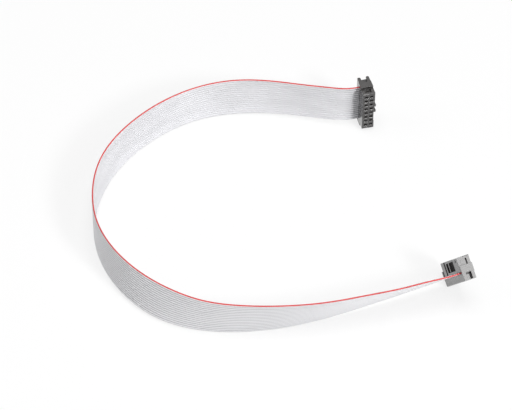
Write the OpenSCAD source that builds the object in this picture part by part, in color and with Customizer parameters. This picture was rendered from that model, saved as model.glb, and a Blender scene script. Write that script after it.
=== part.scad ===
// Flat ribbon cable with a two-row crimp socket on each end.
// The ribbon stands on its lower edge in one open loop. Both sockets sit on the
// inner face of the loop, with contact 1 at the ribbon's marked upper edge.
//
// Frame: millimetres, Z up, the floor at Z = 0, the origin under the middle of the part.
// Socket frame: the origin is the middle of the ribbon slot, X runs along the ribbon
// towards the key, Y points from the mating face to the cover, Z points to contact 1.

/* [Ribbon] */
// Distance from one conductor to the next
conductor_pitch = 1.27; // [1.2:0.01:1.35]
// Thickness of the ribbon over a conductor
ribbon_t = 0.9; // [0.7:0.05:1]
// Thickness of the web between two conductors
web_t = 0.45; // [0.3:0.05:0.6]
// Flat share of each conductor's ridge
ridge_flat = 0.5; // [0.3:0.05:0.7]
// Rings in each span of the route
rings_per_span = 2; // [1:1:3]

/* [Contacts] */
// Contacts in each of the two rows
contacts_per_row = 8; // [3:1:8]
// Distance between the two rows of contacts
row_pitch = 2.54; // [2.5:0.01:2.6]
// Thickness of the sheet that the contacts are stamped from
sheet_t = 0.2; // [0.15:0.01:0.22]
// Width of the spring leaves
spring_w = 0.8; // [0.6:0.05:0.9]
// Inside width between the spring leaves
spring_gap = 1.0; // [0.9:0.05:1.1]
// Gap left for the post between the leaves' contact points
post_gap = 0.45; // [0.35:0.05:0.6]
// Length of the spring leaves
spring_l = 3.1; // [2.8:0.1:3.2]
// Width of the fork over both tines
fork_w = 1.1; // [1:0.02:1.14]
// Width of the fork's slot, which grips one conductor
fork_slot_w = 0.26; // [0.2:0.02:0.36]
// Depth of the fork's slot below the ribbon's mid-plane
fork_slot_l = 1.0; // [0.7:0.1:1.4]
// Depth of the contact's web, which joins its leaves to its fork, below the mid-plane
web_y = 2.9; // [2.6:0.1:3.1]
// How far the fork's tips stand out behind the ribbon
tip_out = 0.4; // [0.3:0.05:0.6]
// Length of the tips' points
tip_point = 0.25; // [0.15:0.05:0.3]

/* [Socket body] */
// Length of the body
body_l = 22.2; // [22:0.1:24]
// Width of the socket over its pads
socket_w = 6.1; // [6:0.05:6.6]
// How far the long side with the key lies back between its pads
waist_in = 0.55; // [0.4:0.05:0.6]
// Depth from the mating face to the ribbon's mid-plane
body_h = 7; // [6.9:0.05:8]
// Width of a mouth across the rows
mouth_w = 1.8; // [1.5:0.05:2]
// Width of a mouth along the row
mouth_l = 1.5; // [1.3:0.05:1.8]
// Depth of the tapered lead-in
mouth_h = 0.6; // [0.4:0.05:0.7]
// Side of the square hole that a post passes through
post_hole = 0.9; // [0.8:0.05:1]
// Clearance around each contact in its cavity
cavity_gap = 0.08; // [0.04:0.02:0.1]
// Width of the polarising key over both fins
key_w = 4.4; // [3.8:0.1:4.8]
// Thickness of each fin of the key
fin_t = 0.9; // [0.6:0.05:1.2]
// How far the key stands out from the waist
key_out = 1.45; // [1.2:0.05:1.8]
// How far the key starts behind the mating face
key_front = 0.9; // [0.5:0.05:1.6]
// Length of the sloped lead-in at the key's front
key_lead = 0.3; // [0.2:0.05:0.6]
// How far the key stops short of the ribbon's mid-plane
key_back = 1.6; // [1.3:0.1:2.5]
// Length of the pad beside contact 1
pad_l = 5.6; // [4:0.1:7]
// Length of the pad at the other end
far_pad_l = 3.9; // [1.6:0.1:4.5]
// How far that pad stands out from the waist
far_pad_out = 0.3; // [0.2:0.05:0.5]
// Bevel along the mating face and at the ends
bevel = 0.25; // [0.1:0.05:0.4]
// Width of the window in each end face
window_w = 3; // [2.6:0.1:3.6]
// Height of the window in each end face
window_h = 2.6; // [1.8:0.1:2.8]
// Depth of the window
window_d = 0.9; // [0.5:0.05:0.9]
// Side of the triangle that marks contact 1
mark = 1.6; // [1.2:0.1:2]
// Depth of the mark
mark_d = 0.2; // [0.1:0.05:0.3]

/* [Cover] */
// Thickness of the cover from the ribbon's mid-plane to its back
cover_h = 4; // [3.4:0.05:4.4]
// Width of the cover
cover_w = 5.7; // [5.6:0.05:6]
// Thickness of the latch arms
arm_t = 1.1; // [0.9:0.05:1.3]
// How far the arms reach over the body from the ribbon's mid-plane
arm_l = 3.2; // [2.9:0.05:3.5]
// Width of the cross-bar that ties the two legs of an arm
crossbar = 3.4; // [3.3:0.05:3.5]
// Width of the notch between the legs, where it meets the cross-bar
notch_w = 2.6; // [2.2:0.05:3]
// Radius of the notch's corners at the cross-bar
notch_r = 0.6; // [0.3:0.05:0.8]
// Radius that flares the notch at the cover's back
flare_r = 0.7; // [0.4:0.05:0.9]
// Depth of the notch in the cover's end
notch_d = 1.8; // [1.5:0.05:1.8]
// Bevel along the cover's back
back_bevel = 0.35; // [0.2:0.05:0.5]
// Clearance between the ribbon and the two halves of the socket
slot_gap = 0.03; // [0.02:0.01:0.06]
// Clearance between the arms and the body
arm_gap = 0.05; // [0.04:0.01:0.1]

/* [Latch] */
// Thickness of the body's end posts
post_t = 0.75; // [0.6:0.05:0.8]
// Width of the body's end posts
post_w = 1.6; // [1.4:0.1:1.8]
// How far the posts stand behind the ribbon's mid-plane
post_out = 1.2; // [1:0.05:1.4]
// How far the tooth on each post stands out
tooth = 0.5; // [0.3:0.05:0.6]
// Clearance between the tooth and the cross-bar
tooth_gap = 0.06; // [0.04:0.01:0.1]

/* [Hidden] */
conductors = 2 * contacts_per_row;
ribbon_w = conductors * conductor_pitch;
contact_pitch = 2 * conductor_pitch;
shoulder = body_l / 2;
span = shoulder + arm_gap + arm_t;
side = socket_w / 2;
waist = side - waist_in;
seat = ribbon_t / 2 + slot_gap;
spring_x = spring_gap / 2 + sheet_t;
over = 1;

// Places of the two sockets: the middle of the slot, then the turns about X, Y and Z
socket_a_at = [40.6, 66.3, span];
socket_a_turn = [0, 0, 15];
socket_b_turn = [-38.5, 0, 204];
socket_b_at = [79.5, -44.9, span * cos(socket_b_turn.x) - cover_h * sin(socket_b_turn.x)];

// The ribbon's route from socket A to socket B, as the points that pull a cubic
// B-spline: X, Y and Z of the mid-line, then the lean out of the loop in degrees.
route = [
    [ 22,    65.5, 12,     2],
    [ 10.5,  68,   11.5,   0],
    [ -4,    71,   11,     3],
    [-21,    72,   10.5,   6],
    [-38,    68,   10.5,   3],
    [-53.5,  59,   10.5,   3],
    [-67,    46.5, 10.5,   3],
    [-78,    31,   10.5,   4],
    [-84,    15,   10.5,   4],
    [-86,    -2,   10.5,   0],
    [-84,   -20,   11,    -1],
    [-77,   -37,   11.5,  -5],
    [-66,   -51.5, 11.5,  -8],
    [-52.5, -62.5, 11.5,  -9],
    [-35,   -69,   10.5,   2],
    [-17,   -70,   10,     7],
    [  0.5, -69,   10,    13],
    [ 19,   -65.5, 10,    21],
    [ 36,   -60.5, 11,    27],
    [ 51,   -56,   11.5,  33],
    [ 62.5, -51.6, 12,    35]
];
// Straight run of ribbon beside each socket, in which it isn't bent
lead = 6;

SOCKETS = ["a", "b"];

// ---- Places and directions ----

function turn_x(v, a) = [v.x, v.y * cos(a) - v.z * sin(a), v.y * sin(a) + v.z * cos(a)];
function turn_y(v, a) = [v.x * cos(a) + v.z * sin(a), v.y, v.z * cos(a) - v.x * sin(a)];
function turn_z(v, a) = [v.x * cos(a) - v.y * sin(a), v.x * sin(a) + v.y * cos(a), v.z];
function turned(v, a) = turn_z(turn_y(turn_x(v, a.x), a.y), a.z);
function unit(v) = v / norm(v);

// Conductor i, counted from 1 at the marked edge, and the contact column it belongs to
function conductor_z(i) = ((conductors + 1) / 2 - i) * conductor_pitch;
function column_z(i) = ((contacts_per_row + 1) / 2 - ceil(i / 2)) * contact_pitch;
function row_x(i) = (i % 2 == 1 ? 1 : -1) * row_pitch / 2;

module at_socket(s) {
    translate(s == "a" ? socket_a_at : socket_b_at)
        rotate(s == "a" ? socket_a_turn : socket_b_turn)
            children();
}

// Extrudes an outline drawn as [z, y] along X, about the middle
module across(width) {
    rotate([0, -90, 0])
        linear_extrude(width, center = true)
            children();
}

// ---- Ribbon ----

// A mid-line point beside a socket, x along the socket's own X, with its lean
function beside(at, turn, x) =
    let (p = at + turned([x, 0, 0], turn))
    [p.x, p.y, p.z, -turn.x];

pulls = concat(
    [beside(socket_a_at, socket_a_turn, -side), beside(socket_a_at, socket_a_turn, -side - lead)],
    route,
    [beside(socket_b_at, socket_b_turn, side + lead), beside(socket_b_at, socket_b_turn, side)]
);
last = len(pulls) - 1;
// One point more at each end lets the spline start and stop on the ends themselves
function pull(i) =
    i < 0 ? 2 * pulls[0] - pulls[1] :
    i > last ? 2 * pulls[last] - pulls[last - 1] :
    pulls[i];

// Cubic B-spline between pulls k and k + 1, and its slope
function spline(k, f) =
    (pow(1 - f, 3) * pull(k - 1)
    + (3 * pow(f, 3) - 6 * pow(f, 2) + 4) * pull(k)
    + (-3 * pow(f, 3) + 3 * pow(f, 2) + 3 * f + 1) * pull(k + 1)
    + pow(f, 3) * pull(k + 2)) / 6;
function slope(k, f) =
    (-pow(1 - f, 2) * pull(k - 1)
    + (3 * pow(f, 2) - 4 * f) * pull(k)
    + (-3 * pow(f, 2) + 2 * f + 1) * pull(k + 1)
    + pow(f, 2) * pull(k + 2)) / 2;

// Ridged section: half of the thickness at each place across the ribbon
section = [
    for (i = [0:conductors - 1])
        each [
            [i - conductors / 2, web_t / 2],
            [i - conductors / 2 + (1 - ridge_flat) / 2, ribbon_t / 2],
            [i - conductors / 2 + (1 + ridge_flat) / 2, ribbon_t / 2]
        ],
    [conductors / 2, web_t / 2]
];
section_n = len(section);

// One ring of points round the ribbon at mid-point p, heading along t
function ring(p, t) =
    let (
        out = unit(cross(t, [0, 0, 1])),
        rise = cross(out, t),
        up = cos(p[3]) * rise + sin(p[3]) * out,
        face = cross(t, up),
        mid = [p.x, p.y, p.z]
    )
    concat(
        [for (s = section) mid + s[0] * conductor_pitch * up + s[1] * face],
        [for (i = [section_n - 1:-1:0]) mid + section[i][0] * conductor_pitch * up - section[i][1] * face]
    );

function heading(v) = unit([v.x, v.y, v.z]);

module ribbon() {
    start = beside(socket_a_at, socket_a_turn, waist);
    end = beside(socket_b_at, socket_b_turn, -waist);
    rings = concat(
        [ring(start, heading(slope(0, 0)))],
        [for (k = [0:last - 1]) for (j = [0:rings_per_span - 1])
            let (f = j / rings_per_span) ring(spline(k, f), heading(slope(k, f)))],
        [ring(spline(last - 1, 1), heading(slope(last - 1, 1)))],
        [ring(end, heading(slope(last - 1, 1)))]
    );
    n = 2 * section_n;
    ends = len(rings) - 1;
    points = [for (r = rings) each r];
    walls = [
        for (r = [0:ends - 1]) for (i = [0:n - 1])
            let (a = r * n + i, b = r * n + (i + 1) % n)
            each [[a, b, b + n], [a, b + n, a + n]]
    ];
    caps = [
        for (i = [0:section_n - 2])
            each [
                [i, n - 1 - i, n - 2 - i, i + 1],
                [ends * n + i, ends * n + i + 1, ends * n + n - 2 - i, ends * n + n - 1 - i]
            ]
    ];
    color("gainsboro")
        polyhedron(points, concat(walls, caps));
}

// ---- Contacts ----

// Two spring leaves on a web, drawn in the plane across the rows: y = 0 is the web's back
module spring_outline() {
    pinch = (spring_gap - post_gap) / 2;
    bulge = spring_l * 0.7;
    for (s = [0, 1])
        mirror([s, 0])
            polygon([
                [0, 0], [spring_x, 0], [spring_x, -spring_l * 0.45],
                [spring_x - pinch, -bulge], [spring_x, -spring_l], [spring_x - sheet_t, -spring_l],
                [spring_x - pinch - sheet_t, -bulge], [spring_x - sheet_t, -spring_l * 0.45],
                [spring_x - sheet_t, -sheet_t], [0, -sheet_t]
            ]);
}

// The fork that cuts through the insulation, drawn as [z, y]
module fork_outline() {
    tip = ribbon_t / 2 + tip_out;
    tine = (fork_w - fork_slot_w) / 2;
    difference() {
        polygon([
            [-fork_w / 2, -web_y - sheet_t], [fork_w / 2, -web_y - sheet_t],
            [fork_w / 2, tip - tip_point], [fork_w / 2 - tine / 2, tip], [fork_slot_w / 2, tip - tip_point],
            [-fork_slot_w / 2, tip - tip_point], [-fork_w / 2 + tine / 2, tip], [-fork_w / 2, tip - tip_point]
        ]);
        translate([-fork_slot_w / 2, -fork_slot_l])
            square([fork_slot_w, fork_slot_l + tip]);
        translate([0, -fork_slot_l])
            circle(d = fork_slot_w, $fn = 24);
    }
}

module contact(i) {
    color("goldenrod")
        translate([row_x(i), 0, 0]) {
            translate([0, -web_y, column_z(i) - spring_w / 2])
                linear_extrude(spring_w)
                    spring_outline();
            translate([0, 0, conductor_z(i)])
                across(sheet_t)
                    fork_outline();
        }
}

// ---- Socket body ----

// The body as seen from its long side, drawn as [z, y]
module body_outline() {
    polygon([
        [bevel - shoulder, -body_h], [shoulder - bevel, -body_h], [shoulder, bevel - body_h],
        [shoulder, -seat], [-shoulder, -seat], [-shoulder, bevel - body_h]
    ]);
}

// A ridge on the long side, drawn across the rows: from y = front it slopes out over
// its lead-in, stands out from the waist and ends short of the ribbon's mid-plane
module ridge(out, front, lead, back, length) {
    top = waist + out;
    linear_extrude(length)
        polygon([
            [0, front], [top - lead, front], [top, front + lead],
            [top, -back - bevel], [top - bevel, -back], [0, -back]
        ]);
}

module pads() {
    translate([0, 0, shoulder - pad_l])
        ridge(waist_in, -body_h, bevel, seat, pad_l);
    translate([0, 0, -shoulder])
        ridge(far_pad_out, -body_h, bevel, seat, far_pad_l);
}

// The key: two fins with an open valley between them
module key() {
    for (z = [-key_w / 2, key_w / 2 - fin_t])
        translate([0, 0, z])
            ridge(key_out, key_front - body_h, key_lead, key_back, fin_t);
}

// A post behind each end of the ribbon, with the tooth that holds the cover's arm
module end_post() {
    hold = arm_l - crossbar - tooth_gap;
    across(post_w)
        polygon([
            [shoulder - post_t, -seat - over], [shoulder, -seat - over], [shoulder, -hold],
            [shoulder + tooth, -hold], [shoulder + tooth, -hold + tooth / 2],
            [shoulder, post_out], [shoulder - post_t, post_out]
        ]);
}

// A tapered mouth: the overlap of two wedges, one across the rows and one along them
module mouth() {
    intersection() {
        linear_extrude(mouth_l, center = true)
            polygon([
                [-mouth_w / 2, -body_h], [mouth_w / 2, -body_h],
                [post_hole / 2, mouth_h - body_h], [-post_hole / 2, mouth_h - body_h]
            ]);
        across(mouth_w)
            polygon([
                [-mouth_l / 2, -body_h], [mouth_l / 2, -body_h],
                [post_hole / 2, mouth_h - body_h], [-post_hole / 2, mouth_h - body_h]
            ]);
    }
}

// The space for contact i, open at the mating face and at the ribbon
module cavity(i) {
    spring_end = web_y + spring_l + cavity_gap;
    room_x = 2 * (spring_x + cavity_gap);
    room_z = spring_w + 2 * cavity_gap;
    fork_end = web_y + sheet_t + cavity_gap;
    pocket_x = sheet_t + 2 * cavity_gap;
    pocket_z = fork_w + 2 * cavity_gap;
    translate([row_x(i), 0, column_z(i)]) {
        mouth();
        translate([-post_hole / 2, -body_h + mouth_h / 2, -post_hole / 2])
            cube([post_hole, body_h, post_hole]);
        translate([-room_x / 2, -spring_end, -room_z / 2])
            cube([room_x, spring_end + over, room_z]);
    }
    translate([row_x(i) - pocket_x / 2, -fork_end, conductor_z(i) - pocket_z / 2])
        cube([pocket_x, fork_end + over, pocket_z]);
}

module end_window() {
    translate([-window_w / 2, -arm_l - window_h, shoulder - window_d])
        cube([window_w, window_h, window_d + over]);
}

// The triangle beside contact 1, sunk into the pad on the key side
module contact_mark() {
    translate([side - mark_d, bevel - body_h + mark, column_z(1)])
        rotate([0, 90, 0])
            linear_extrude(mark_d + over)
                polygon([[-mark / 2, 0], [mark / 2, 0], [0, -mark * sqrt(3) / 2]]);
}

module socket_body() {
    color("dimgray")
        difference() {
            union() {
                translate([(waist - side) / 2, 0, 0])
                    across(waist + side)
                        body_outline();
                pads();
                key();
                for (s = [0, 1])
                    mirror([0, 0, s])
                        end_post();
            }
            for (i = [1:conductors])
                cavity(i);
            for (s = [0, 1])
                mirror([0, 0, s])
                    end_window();
            contact_mark();
        }
}

// ---- Cover ----

// The cover's bar across the ribbon's back, drawn across the rows
module bar_outline() {
    polygon([
        [-cover_w / 2, seat], [cover_w / 2, seat], [cover_w / 2, cover_h - back_bevel],
        [cover_w / 2 - back_bevel, cover_h], [back_bevel - cover_w / 2, cover_h],
        [-cover_w / 2, cover_h - back_bevel]
    ]);
}

module cover_arm() {
    translate([-side, -arm_l, span - arm_t])
        cube([socket_w, arm_l + seat + bevel, arm_t]);
}

// The notch between an arm's two legs, from the cross-bar to the cover's back, as seen
// on the cover's end: round corners at the bar and a flare at the back
module notch_outline() {
    top = crossbar - arm_l;
    difference() {
        union() {
            for (x = [-1, 1])
                translate([x * (notch_w / 2 - notch_r), top + notch_r])
                    circle(r = notch_r, $fn = 32);
            translate([notch_r - notch_w / 2, top])
                square([notch_w - 2 * notch_r, notch_r]);
            translate([-notch_w / 2, top + notch_r])
                square([notch_w, cover_h - top - notch_r + over]);
            translate([-notch_w / 2 - flare_r, cover_h - flare_r])
                square([notch_w + 2 * flare_r, flare_r + over]);
        }
        for (x = [-1, 1])
            translate([x * (notch_w / 2 + flare_r), cover_h - flare_r])
                circle(r = flare_r, $fn = 48);
    }
}

module notch() {
    translate([0, 0, span - notch_d])
        linear_extrude(notch_d + over)
            notch_outline();
}

module socket_cover() {
    tip = ribbon_t / 2 + tip_out + cavity_gap;
    pocket_x = sheet_t + 2 * cavity_gap;
    pocket_z = fork_w + 2 * cavity_gap;
    post_z = post_t + 2 * arm_gap;
    color("dimgray")
        difference() {
            union() {
                translate([0, 0, -span])
                    linear_extrude(2 * span)
                        bar_outline();
                for (s = [0, 1])
                    mirror([0, 0, s])
                        cover_arm();
            }
            for (i = [1:conductors])
                translate([row_x(i) - pocket_x / 2, 0, conductor_z(i) - pocket_z / 2])
                    cube([pocket_x, tip, pocket_z]);
            for (s = [0, 1])
                mirror([0, 0, s]) {
                    notch();
                    translate([-post_w / 2 - arm_gap, 0, shoulder - post_t - arm_gap])
                        cube([post_w + 2 * arm_gap, post_out + arm_gap, post_z]);
                }
        }
}

// ---- The part ----

ribbon();
for (s = SOCKETS) {
    at_socket(s) socket_body();
    at_socket(s) socket_cover();
    for (i = [1:conductors])
        at_socket(s) contact(i);
}
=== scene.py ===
import math
import bpy
import bmesh
import numpy as np
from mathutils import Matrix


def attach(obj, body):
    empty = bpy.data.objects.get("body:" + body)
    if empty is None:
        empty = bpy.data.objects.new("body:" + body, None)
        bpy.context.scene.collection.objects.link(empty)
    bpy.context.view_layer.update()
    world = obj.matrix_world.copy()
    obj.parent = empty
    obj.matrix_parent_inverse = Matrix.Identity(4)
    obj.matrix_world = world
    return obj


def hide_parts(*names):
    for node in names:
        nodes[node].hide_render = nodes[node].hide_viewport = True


# Looks for a flat ribbon cable with a two-row socket on each end.
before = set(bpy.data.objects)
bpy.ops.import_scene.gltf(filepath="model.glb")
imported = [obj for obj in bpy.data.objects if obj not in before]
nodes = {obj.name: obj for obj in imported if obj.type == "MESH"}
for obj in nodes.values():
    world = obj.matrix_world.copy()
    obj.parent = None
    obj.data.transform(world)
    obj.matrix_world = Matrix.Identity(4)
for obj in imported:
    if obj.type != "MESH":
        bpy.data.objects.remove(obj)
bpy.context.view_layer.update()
mm = 0.001


class Wire:
    # an output socket; arithmetic on it adds Math nodes
    def __init__(self, sheet, socket):
        self.sheet = sheet
        self.socket = socket

    def __add__(self, other):
        return self.sheet.maths("ADD", self, other)

    def __sub__(self, other):
        return self.sheet.maths("SUBTRACT", self, other)

    def __rsub__(self, other):
        return self.sheet.maths("SUBTRACT", other, self)

    def __mul__(self, other):
        return self.sheet.maths("MULTIPLY", self, other)

    __radd__ = __add__
    __rmul__ = __mul__

    def fade(self, low, high):
        # 0 below low, 1 above high, smooth between them
        return self.sheet.add("ShaderNodeMapRange", {"interpolation_type": "SMOOTHSTEP"},
                              {"Value": self, "From Min": low, "From Max": high})


class Sheet:
    # the nodes of one material, or of the world
    def __init__(self, owner):
        self.owner = owner
        owner.use_nodes = True
        self.tree = owner.node_tree
        self.tree.nodes.clear()

    def add(self, kind, settings=None, values=None, out=0):
        node = self.tree.nodes.new(kind)
        for name, value in (settings or {}).items():
            setattr(node, name, value)
        for name, value in (values or {}).items():
            if isinstance(value, Wire):
                self.tree.links.new(value.socket, node.inputs[name])
            else:
                node.inputs[name].default_value = value
        return Wire(self, node.outputs[out]) if len(node.outputs) else None

    def maths(self, operation, *values):
        return self.add("ShaderNodeMath", {"operation": operation}, dict(enumerate(values)))

    def attribute(self, name):
        return self.add("ShaderNodeAttribute", {"attribute_name": name}, out="Fac")

    def place(self):
        return self.add("ShaderNodeTexCoord", out="Object")

    def point(self, x, y, z):
        return self.add("ShaderNodeCombineXYZ", None, {0: x, 1: y, 2: z})

    def noise(self, vector, scale=1.0, detail=2.0):
        return self.add("ShaderNodeTexNoise", None, {"Vector": vector, "Scale": scale, "Detail": detail})

    def mix(self, factor, first, second):
        # sockets 6, 7 and 2 are the colour ones
        pair = {"Factor": factor, 6: first, 7: second}
        return self.add("ShaderNodeMix", {"data_type": "RGBA"}, pair, out=2)

    def bump(self, height, strength, distance):
        values = {"Height": height, "Strength": strength, "Distance": distance}
        return self.add("ShaderNodeBump", None, values)

    def shownRay(self):
        # 1 for what the eye sees straight, in gloss or through glass; 0 for a ray that only carries light
        kinds = ("Camera", "Glossy", "Transmission")
        straight, glossy, through = [self.add("ShaderNodeLightPath", out=f"Is {kind} Ray") for kind in kinds]
        return self.maths("MAXIMUM", straight, self.maths("MAXIMUM", glossy, through))

    def finish(self, surface):
        kind = "World" if isinstance(self.owner, bpy.types.World) else "Material"
        self.add("ShaderNodeOutput" + kind, None, {"Surface": surface})
        return self.owner


def makeSheet(name):
    return Sheet(bpy.data.materials.new(name))


def rgb(red, green, blue):
    # a colour as it is seen, 0 to 255, made linear
    seen = np.array([red, green, blue]) / 255
    return (*np.where(seen <= 0.04045, seen / 12.92, ((seen + 0.055) / 1.055) ** 2.4), 1.0)


def unit(v):
    return v / np.linalg.norm(v, axis=-1, keepdims=True)


def addThing(name, data):
    thing = bpy.data.objects.new(name, data)
    bpy.context.scene.collection.objects.link(thing)
    return thing


def makeMesh(name, points, faces, smooth=True):
    mesh = bpy.data.meshes.new(name)
    mesh.from_pydata(points, [], faces)
    mesh.polygons.foreach_set("use_smooth", np.full(len(mesh.polygons), smooth))
    mesh.update()
    return addThing(name, mesh)


def tag(thing, name, values):
    layer = thing.data.attributes.new(name, "FLOAT", "POINT")
    layer.data.foreach_set("value", np.ravel(values).astype(np.float32))


def dress(thing, material):
    thing.data.materials.clear()
    thing.data.materials.append(material)


camera = {
    "lift": 46,             # degrees above the horizon
    "aim": (-11, 9.5, 0),
    "distance": 1200,
    "lens": 181.8,
    "sensor": 36,
    "clip": (0.01, 100)     # nearest and furthest that is drawn, in metres
}


def makeCamera(c):
    lift = math.radians(c["lift"])
    data = bpy.data.cameras.new("camera")
    data.lens = c["lens"]
    data.sensor_width = c["sensor"]
    data.clip_start, data.clip_end = c["clip"]
    thing = addThing("camera", data)
    aim = np.array(c["aim"]) * mm
    thing.location = aim + c["distance"] * mm * np.array([0, -math.cos(lift), math.sin(lift)])
    thing.rotation_euler = (math.pi / 2 - lift, 0, 0)
    bpy.context.scene.camera = thing


makeCamera(camera)
print("camera made")


moulding = {
    "join": 0.001,      # corners of the solid's triangles this close are one
    "flat": 1,          # triangles that meet at fewer degrees than this are one face
    "edge": 0.07,       # rounding that the mould leaves on an edge
    "steps": 2,
    "sharp": 50,        # an outward edge bent by more degrees than this, and longer than this, is rounded
    "longer": 0.8
}


def softenMoulding(name, m):
    # The socket's own solid, its loose triangles merged into whole flat faces. Its outward square edges are
    # rounded; the tapers and corners inside the mouths stay sharp.
    mesh = nodes[name].data.copy()
    shape = bmesh.new()
    shape.from_mesh(mesh)
    bmesh.ops.remove_doubles(shape, verts=shape.verts, dist=m["join"] * mm)
    bmesh.ops.dissolve_limit(shape, angle_limit=math.radians(m["flat"]), verts=shape.verts, edges=shape.edges)
    chosen = shape.edges.layers.float.new("bevel_weight_edge")
    for edge in shape.edges:
        outward = edge.calc_face_angle_signed(0) > math.radians(m["sharp"])
        edge[chosen] = float(outward and edge.calc_length() > m["longer"] * mm)
    for face in shape.faces:
        face.smooth = False
    shape.to_mesh(mesh)
    shape.free()
    thing = addThing(name + "_moulding", mesh)
    rounding = thing.modifiers.new("rounding", "BEVEL")
    rounding.width = m["edge"] * mm
    rounding.segments = m["steps"]
    rounding.limit_method = "WEIGHT"
    rounding.use_clamp_overlap = False
    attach(thing, "root")
    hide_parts(name)
    return thing


mouldings = {name: softenMoulding(name, moulding) for name in nodes if name.endswith(("_body", "_cover"))}
print("mouldings made", len(mouldings))


ribbon = {
    "conductors": 16,
    "pitch": 1.27,
    "thick": 0.9,       # over a conductor
    "web": 0.45,        # between two conductors
    "outline": (0.0, 0.14, 0.2, 0.28, 0.38, 0.5, 0.62, 0.72, 0.8, 0.86),    # places in one pitch
    "ringsPerSpan": 7,
    "halfSocket": 3.05,
    "halfWaist": 2.5,   # from a socket's middle to the end of the ribbon in it
    "lead": 6,          # from a socket's wall to the pull straight out of it
    # place of each socket, and its turns about X, Y and Z in degrees
    "socketA": ((40.6, 66.3, 12.25), (0, 0, 15)),
    "socketB": ((79.5, -44.9, 12.0770), (-38.5, 0, 204)),
    # pulls on the mid-line from socket A to socket B, and the lean out of the loop in degrees
    "route": [
        (22, 65.5, 12, 2), (10.5, 68, 11.5, 0), (-4, 71, 11, 3), (-21, 72, 10.5, 6),
        (-38, 68, 10.5, 3), (-53.5, 59, 10.5, 3), (-67, 46.5, 10.5, 3), (-78, 31, 10.5, 4),
        (-84, 15, 10.5, 4), (-86, -2, 10.5, 0), (-84, -20, 11, -1), (-77, -37, 11.5, -5),
        (-66, -51.5, 11.5, -8), (-52.5, -62.5, 11.5, -9), (-35, -69, 10.5, 2), (-17, -70, 10, 7),
        (0.5, -69, 10, 13), (19, -65.5, 10, 21), (36, -60.5, 11, 27), (51, -56, 11.5, 33),
        (62.5, -51.6, 12, 35)
    ]
}


def turned(vector, turns):
    # vector turned about X, then Y, then Z, in degrees
    (cx, cy, cz), (sx, sy, sz) = np.cos(np.radians(turns)), np.sin(np.radians(turns))
    aboutX = np.array([[1, 0, 0], [0, cx, -sx], [0, sx, cx]])
    aboutY = np.array([[cy, 0, sy], [0, 1, 0], [-sy, 0, cy]])
    aboutZ = np.array([[cz, -sz, 0], [sz, cz, 0], [0, 0, 1]])
    return aboutZ @ aboutY @ aboutX @ np.asarray(vector, float)


def beside(socket, x):
    # a place on the socket's own X axis, and the ribbon's lean there
    at, turns = socket
    return np.append(np.array(at) + turned((x, 0, 0), turns), -turns[0])


def ribbonLine(r):
    # Uniform cubic B-spline: each point is a weighted mean of four neighbouring pulls, with the usual
    # cubic weights; the heading is its slope. A straight bit is added at each end, inside the sockets.
    out = r["halfSocket"] + r["lead"]
    pulls = np.vstack([beside(r["socketA"], -r["halfSocket"]), beside(r["socketA"], -out),
                       np.array(r["route"], float),
                       beside(r["socketB"], out), beside(r["socketB"], r["halfSocket"])])
    pulls = np.vstack([2 * pulls[0] - pulls[1], pulls, 2 * pulls[-1] - pulls[-2]])
    spans = len(pulls) - 3
    t = np.linspace(0, spans, spans * r["ringsPerSpan"] + 1)
    k = np.minimum(t.astype(int), spans - 1)
    f = (t - k)[:, None]
    weights = [(1 - f) ** 3, 3 * f ** 3 - 6 * f ** 2 + 4, -3 * f ** 3 + 3 * f ** 2 + 3 * f + 1, f ** 3]
    slopes = [-(1 - f) ** 2, 3 * f ** 2 - 4 * f, -3 * f ** 2 + 2 * f + 1, f ** 2]
    line = sum(w * pulls[k + i] for i, w in enumerate(weights)) / 6
    heading = unit(sum(w * pulls[k + i] for i, w in enumerate(slopes))[:, :3])
    line = np.vstack([beside(r["socketA"], r["halfWaist"]), line, beside(r["socketB"], -r["halfWaist"])])
    heading = np.vstack([heading[:1], heading, heading[-1:]])
    return line, heading


def ribbonSection(r):
    # Place u across the ribbon, in pitches from its middle, and half thickness h. Over each conductor h is
    # a round jacket, the root of (thick/2)^2 - d^2 at distance d from its middle, and never less than half
    # the web.
    u = (np.arange(r["conductors"])[:, None] + np.array(r["outline"])).ravel() - r["conductors"] / 2
    u = np.append(u, r["conductors"] / 2)
    away = np.abs(u % 1 - 0.5) * r["pitch"]
    h = np.sqrt(np.maximum((r["thick"] / 2) ** 2 - away ** 2, (r["web"] / 2) ** 2))
    return u, h


def ribbonFaces(rings, n):
    # four-sided walls between neighbouring rings of n points, and an end of strips across each last ring
    ring = np.arange(n)
    start = np.arange(rings - 1)[:, None] * n
    a = (start + ring).ravel()
    b = (start + (ring + 1) % n).ravel()
    i = np.arange(n // 2 - 1)
    last = (rings - 1) * n
    return np.vstack([np.stack([a, b, b + n, a + n], 1),
                      np.stack([i, n - 1 - i, n - 2 - i, i + 1], 1),
                      np.stack([last + i, last + i + 1, last + n - 2 - i, last + n - 1 - i], 1)])


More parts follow.
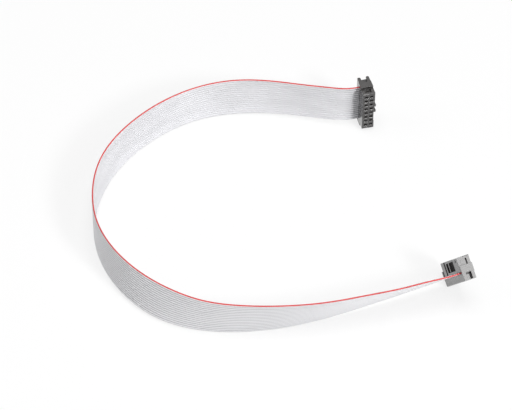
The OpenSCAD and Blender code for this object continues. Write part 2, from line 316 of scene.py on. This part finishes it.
def makeRibbon(r):
    # The section carried along the line. At each ring up is square to the heading and leans out of the loop
    # by the lean; a point is the mid-line, plus u pitches of up, plus or minus h square to both.
    line, heading = ribbonLine(r)
    u, h = ribbonSection(r)
    lean = np.radians(line[:, 3])[:, None]
    out = unit(np.cross(heading, [0, 0, 1]))
    up = np.cos(lean) * np.cross(out, heading) + np.sin(lean) * out
    face = np.cross(heading, up)
    across = np.concatenate([u, u[::-1]])
    half = np.concatenate([h, -h[::-1]])
    points = (line[:, None, :3] + across[None, :, None] * r["pitch"] * up[:, None]
              + half[None, :, None] * face[:, None])
    rings, n = points.shape[:2]
    thing = makeMesh("ribbonJacket", points.reshape(-1, 3) * mm, ribbonFaces(rings, n).tolist())
    along = np.append(0, np.cumsum(np.linalg.norm(np.diff(line[:, :3], axis=0), axis=1)))
    fromSocket = np.minimum(along - along[1], along[-2] - along)
    tag(thing, "across", np.broadcast_to(r["conductors"] / 2 - across, (rings, n)))     # 0 at the marked edge
    tag(thing, "along", np.broadcast_to(along[:, None], (rings, n)))
    tag(thing, "outer", np.broadcast_to(half > 0, (rings, n)))      # 1 on the face outside the loop
    tag(thing, "fromSocket", np.broadcast_to(fromSocket[:, None], (rings, n)))
    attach(thing, "root")
    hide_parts("ribbon")
    path = line[1:-1, :3] * mm
    farNodes = ["socket_b_body", "socket_b_cover"]
    farNodes += [f"socket_b_contact_{i}" for i in range(1, r["conductors"] + 1)]
    return thing


jacket = makeRibbon(ribbon)
print("ribbon made", len(jacket.data.vertices))


pvc = {
    "grey": rgb(215, 215, 218),
    "pale": rgb(222, 222, 225),         # what the grey drifts to
    "driftWidth": (0.3, 0.7),
    "driftRate": (0.25, 0.05, 3.0),     # changes in a pitch and in a mm, and where the pattern starts
    "ridge": rgb(232, 232, 234),        # painted light: the outer face made paler, by this share
    "ridgeShare": 0.8,
    # painted shade: the colour the valleys between conductors are darkened to
    "valley": rgb(118, 118, 124),
    "valleyWidth": (-0.2, 0.9),         # parts of a wave that is 1 in a valley and -1 on a conductor
    "inner": 0.02,                      # how dark the painted valley shade is on the inner face, on the outer one, and in the painted shadow of each socket, which fades by so many mm
    "outer": 0.5,                       # and where a cover has pressed them, which fades by so many mm
    "pressed": 0.8,
    "pressedBy": 8.0,
    "red": rgb(212, 66, 66),
    "deepRed": rgb(178, 42, 45),        # streaks in the red
    "deepShare": 0.3,
    "deepWidth": (0.3, 0.8),
    "stripe": (0.2, 0.32),              # where the red ends, in pitches from the marked edge
    "waver": 0.08,                      # how far that end wanders
    "waverRate": (0.3, 7.0),            # changes in a mm, and where the pattern starts
    "streak": rgb(170, 170, 172),       # streaks in the grey
    "streakShare": 0.06,
    "streakWidth": (0.45, 0.8),
    "streakRate": (6.0, 0.04, 0.0),
    "rough": 0.4,
    "roughDrift": 0.06,
    "roughStreak": 0.04,
    "streakDepth": (0.25, 0.00005)      # strength and height in metres
}


def makePvc(p):
    # Grey jacket with a red stripe on its first conductor. The grey drifts slowly along the ribbon and has
    # fine lengthwise streaks from the extrusion. The outer face is painted lighter, and painted shade darkens
    # the valleys between conductors, more so on the outer face and, as a painted socket shadow, for a few mm
    # beside each socket.
    s = makeSheet("ribbonPvc")
    across = s.attribute("across")
    along = s.attribute("along")
    outer = s.attribute("outer")
    fromSocket = s.attribute("fromSocket")
    over, down, start = p["streakRate"]
    streak = s.noise(s.point(across * over, along * down, start), detail=3.0)
    over, down, start = p["driftRate"]
    drift = s.noise(s.point(across * over, along * down, start))
    down, start = p["waverRate"]
    waver = s.noise(s.point(along * down, start, 0.0))
    # painted shade in the valleys between conductors
    valley = s.maths("COSINE", across * (2 * math.pi)).fade(*p["valleyWidth"])
    ofFace = p["inner"] + outer * (p["outer"] - p["inner"])
    # painted shadow of each socket, darkening the valleys for a few mm beside it
    ofSocketShadow = (1 - fromSocket.fade(0, p["pressedBy"])) * p["pressed"]
    valleyShadeAmount = s.maths("MAXIMUM", ofFace, ofSocketShadow)
    grey = s.mix(drift.fade(*p["driftWidth"]), p["grey"], p["pale"])
    # painted light: the outer face is made paler than the inner one
    grey = s.mix(outer * p["ridgeShare"], grey, p["ridge"])
    grey = s.mix(valley * valleyShadeAmount, grey, p["valley"])
    grey = s.mix(streak.fade(*p["streakWidth"]) * p["streakShare"], grey, p["streak"])
    red = s.mix(streak.fade(*p["deepWidth"]) * p["deepShare"], p["red"], p["deepRed"])
    marked = 1 - (across + (waver - 0.5) * p["waver"]).fade(*p["stripe"])
    shader = s.add("ShaderNodeBsdfPrincipled", None, {
        "Base Color": s.mix(marked, grey, red),
        "Roughness": p["rough"] + (drift - 0.5) * p["roughDrift"] + streak * p["roughStreak"],
        "Normal": s.bump(streak, *p["streakDepth"])})
    return s.finish(shader)


plastic = {
    "black": rgb(35, 32, 31),
    "worn": rgb(51, 48, 47),            # cloudy patches, by this share
    "wornShare": 0.6,
    "wornWidth": (0.35, 0.75),
    "cloud": 260.0,                     # patches and grains in a metre
    "grain": 6000.0,
    "rough": 0.26,
    "roughCloud": 0.2,
    "roughGrain": 0.1,
    "ior": 1.5,
    "skin": 1.0,                        # the glossy skin of a moulding
    "skinRough": 0.15,
    "grainDepth": (0.1, 0.00003)        # strength and height in metres
}


def makePlastic(p):
    # Black glass-filled plastic: fine moulded grain, with a faint cloudiness in colour and gloss.
    s = makeSheet("socketPlastic")
    spot = s.place()
    grain = s.noise(spot, p["grain"])
    cloud = s.noise(spot, p["cloud"], detail=3.0)
    shader = s.add("ShaderNodeBsdfPrincipled", None, {
        "Base Color": s.mix(cloud.fade(*p["wornWidth"]) * p["wornShare"], p["black"], p["worn"]),
        "Roughness": p["rough"] + (cloud - 0.5) * p["roughCloud"] + (grain - 0.5) * p["roughGrain"],
        "IOR": p["ior"],
        "Coat Weight": p["skin"],
        "Coat Roughness": p["skinRough"],
        "Normal": s.bump(grain, *p["grainDepth"])})
    return s.finish(shader)


metal = {
    "gold": rgb(226, 188, 104),
    "bronze": rgb(190, 140, 88),
    "wear": 1500.0,                     # worn spots in a metre
    "wearWidth": (0.5, 0.75),
    "rough": 0.22,
    "roughWear": 0.15
}


def makeMetal(m):
    # Plated bronze: thin gold that lets a little bronze through, and is duller there.
    s = makeSheet("contactMetal")
    wear = s.noise(s.place(), m["wear"], detail=3.0)
    shader = s.add("ShaderNodeBsdfPrincipled", None, {
        "Base Color": s.mix(wear.fade(*m["wearWidth"]), m["gold"], m["bronze"]),
        "Metallic": 1.0,
        "Roughness": m["rough"] + wear * m["roughWear"]})
    return s.finish(shader)


dress(jacket, makePvc(pvc))
black = makePlastic(plastic)
plated = makeMetal(metal)
for name, thing in nodes.items():
    if name.startswith("socket"):
        dress(mouldings.get(name, thing), plated if "contact" in name else black)
print("finishes made")


studio = {
    "floor": 3.0,           # half its side, in metres, as all sizes here
    "floorDrop": 0.0001,    # how far it lies under the part
    "floorGrey": (0.86, 0.86, 0.86, 1),
    "shadow": 0.25,         # share of the floor's own shading that shows
    "white": (1, 1, 1, 1),
    "world": 0.15,          # light that comes from all round
    "lampDistance": 2.0,
    "lamps": [              # way to the lamp, its size and power
        ((0.553, -0.394, 0.734), 0.6, 6.0),
        ((0.55, -0.62, 0.56), 0.35, 20.5),
        ((0, 0, 1), 1.2, 24.0),
        ((-0.85, 0, 0.5), 1.2, 6.0)
    ]
}


def makeFloor(c):
    # White as seen and in reflections, with part of its own shading kept so that shadows show
    s = makeSheet("floor")
    plain = s.add("ShaderNodeBsdfDiffuse", None, {"Color": c["floorGrey"]})
    white = s.add("ShaderNodeEmission", None, {"Color": c["white"], "Strength": 1.0})
    both = s.add("ShaderNodeMixShader", None, {0: s.shownRay() * (1 - c["shadow"]), 1: plain, 2: white})
    e, z = c["floor"], -c["floorDrop"]
    floor = makeMesh("floor", [(-e, -e, z), (e, -e, z), (e, e, z), (-e, e, z)], [(0, 1, 2, 3)], smooth=False)
    dress(floor, s.finish(both))


def makeWorld(c):
    # White where it is seen, and much weaker as light
    s = Sheet(bpy.data.worlds.new("studio"))
    strength = c["world"] + s.shownRay() * (1 - c["world"])
    sky = s.add("ShaderNodeBackground", None, {"Color": c["white"], "Strength": strength})
    bpy.context.scene.world = s.finish(sky)


def makeLamps(c):
    for i, (way, size, power) in enumerate(c["lamps"]):
        data = bpy.data.lights.new(f"lamp{i}", "AREA")
        data.size = size
        data.energy = power
        way = unit(np.array(way))
        lamp = addThing(f"lamp{i}", data)
        lamp.location = way * c["lampDistance"]
        lamp.rotation_euler = (math.acos(way[2]), 0, math.atan2(way[1], way[0]) + math.pi / 2)


makeFloor(studio)
makeWorld(studio)
makeLamps(studio)
bpy.context.scene.view_settings.view_transform = "Standard"
print("studio made")
